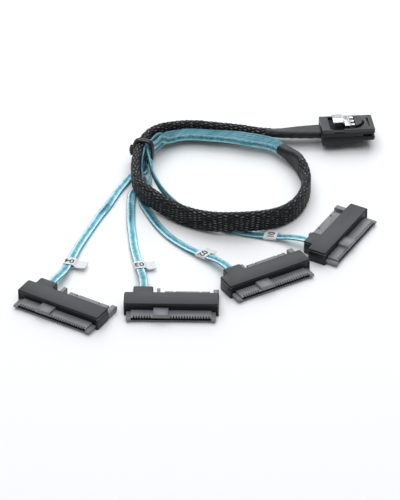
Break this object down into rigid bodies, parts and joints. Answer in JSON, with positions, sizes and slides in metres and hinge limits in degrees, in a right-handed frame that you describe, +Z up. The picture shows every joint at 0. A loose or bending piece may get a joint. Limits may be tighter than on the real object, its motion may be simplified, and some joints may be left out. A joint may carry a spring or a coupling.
{
  "type": "breakout cable",
  "caption": "Breakout cable: a latched plug, a flat braided sleeve in a loop, and flat branches that end in flat drive sockets with a power inlet at the rear",
  "frame": {"origin": "middle of the rigid connectors on the table top they lie on", "axes": "+Z up from the table; +X to the plug's mating side; -Y to the sockets' mating side"},
  "size_m": [0.1768, 0.1786, 0.0144],
  "materials": {
    "cover_plastic": "satin moulded black-grey, fine grain",
    "socket_plastic": "satin dark grey, contacts set in",
    "circuit_board": "green solder mask",
    "inlet_plastic": "satin mid grey",
    "plug_plastic": "satin moulded black",
    "card_laminate": "laminate with gold contact pads",
    "block_plastic": "moulded black",
    "latch_metal": "bright spring steel",
    "ribbon_jacket": "clear blue-green jacket over silver foil",
    "sleeve_braid": "open black monofilament braid",
    "shrink_tube": "soft black shrink tube",
    "tie_plastic": "soft black coated wire",
    "flag_paper": "white paper with plain numbers"
  },
  "bodies": {
    "cable": {"cover_1": "cover_plastic", "drive_socket_1": "socket_plastic", "solder_board_1": "circuit_board", "power_inlet_1": "inlet_plastic", "ribbon_1": "ribbon_jacket", "flag_1": "flag_paper", "cover_2": "cover_plastic", "drive_socket_2": "socket_plastic", "solder_board_2": "circuit_board", "power_inlet_2": "inlet_plastic", "ribbon_2": "ribbon_jacket", "flag_2": "flag_paper", "cover_3": "cover_plastic", "drive_socket_3": "socket_plastic", "solder_board_3": "circuit_board", "power_inlet_3": "inlet_plastic", "ribbon_3": "ribbon_jacket", "flag_3": "flag_paper", "cover_4": "cover_plastic", "drive_socket_4": "socket_plastic", "solder_board_4": "circuit_board", "power_inlet_4": "inlet_plastic", "ribbon_4": "ribbon_jacket", "flag_4": "flag_paper", "plug_base": "plug_plastic", "plug_lid": "plug_plastic", "contact_card": "card_laminate", "wire_block": "block_plastic", "plug_shrink": "shrink_tube", "sleeve": "sleeve_braid", "end_shrink": "shrink_tube", "tie": "tie_plastic"},
    "latch": {"latch": "latch_metal"}
  },
  "joints": [
    {"name": "latch_press", "type": "hinge", "parent": "cable", "child": "latch", "pos_m": [0.07767, 0.07876, 0.00997], "axis": [0.0706, -0.9846, 0.1599], "range_deg": [0, 6], "stiffness_Nm_per_rad": 0.2}
  ]
}
